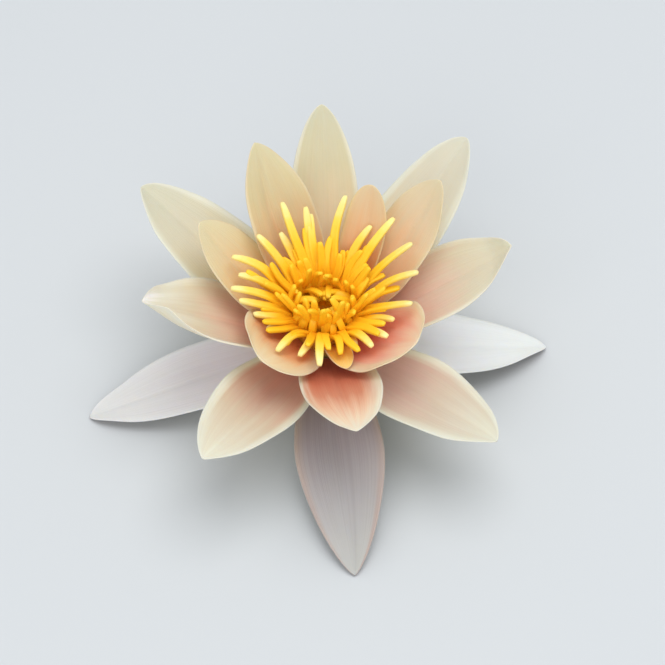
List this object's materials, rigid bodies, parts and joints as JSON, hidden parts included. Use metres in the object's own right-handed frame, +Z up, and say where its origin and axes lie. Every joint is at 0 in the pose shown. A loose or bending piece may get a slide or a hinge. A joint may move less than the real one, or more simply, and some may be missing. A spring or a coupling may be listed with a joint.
{
  "type": "water lily flower",
  "caption": "Open water lily blossom with pointed sepals, cupped cream to peach petals in whorls and a dense golden brush of stamens round a small dished stigma, cut just below the bloom.",
  "frame": {"origin": "middle of the stalk's flat cut face, on which the blossom stands", "axes": "+Z up out of the bloom, +X to the bloom's right, -Y to its front, towards which the open bloom leans"},
  "size_m": [0.1278, 0.1348, 0.0579],
  "materials": {
    "stalk_green": "satin",
    "sepal_white": "satin",
    "petal_cream": "satin",
    "petal_cream_flushed": "satin",
    "petal_peach": "satin",
    "stamen_gold": "satin",
    "stigma_orange": "satin"
  },
  "bodies": {
    "root": {"receptacle_and_stalk": "stalk_green", "sepal_right": "sepal_white", "sepal_back": "sepal_white", "sepal_left": "sepal_white", "sepal_front": "sepal_white", "petal_outer_back_right": "petal_cream", "petal_outer_back_left": "petal_cream", "petal_outer_front_left": "petal_cream", "petal_outer_front_right": "petal_cream", "petal_second_right": "petal_cream_flushed", "petal_second_back": "petal_cream_flushed", "petal_second_left": "petal_cream_flushed", "petal_second_front": "petal_cream_flushed", "petal_third_back_right": "petal_peach", "petal_third_left": "petal_peach", "petal_third_front_right": "petal_peach", "petal_fourth_back": "petal_peach", "petal_fourth_front_left": "petal_peach", "petal_inner_back": "petal_peach", "petal_inner_front": "petal_peach", "stamens": "stamen_gold", "pistil": "stigma_orange"}
  },
  "joints": []
}
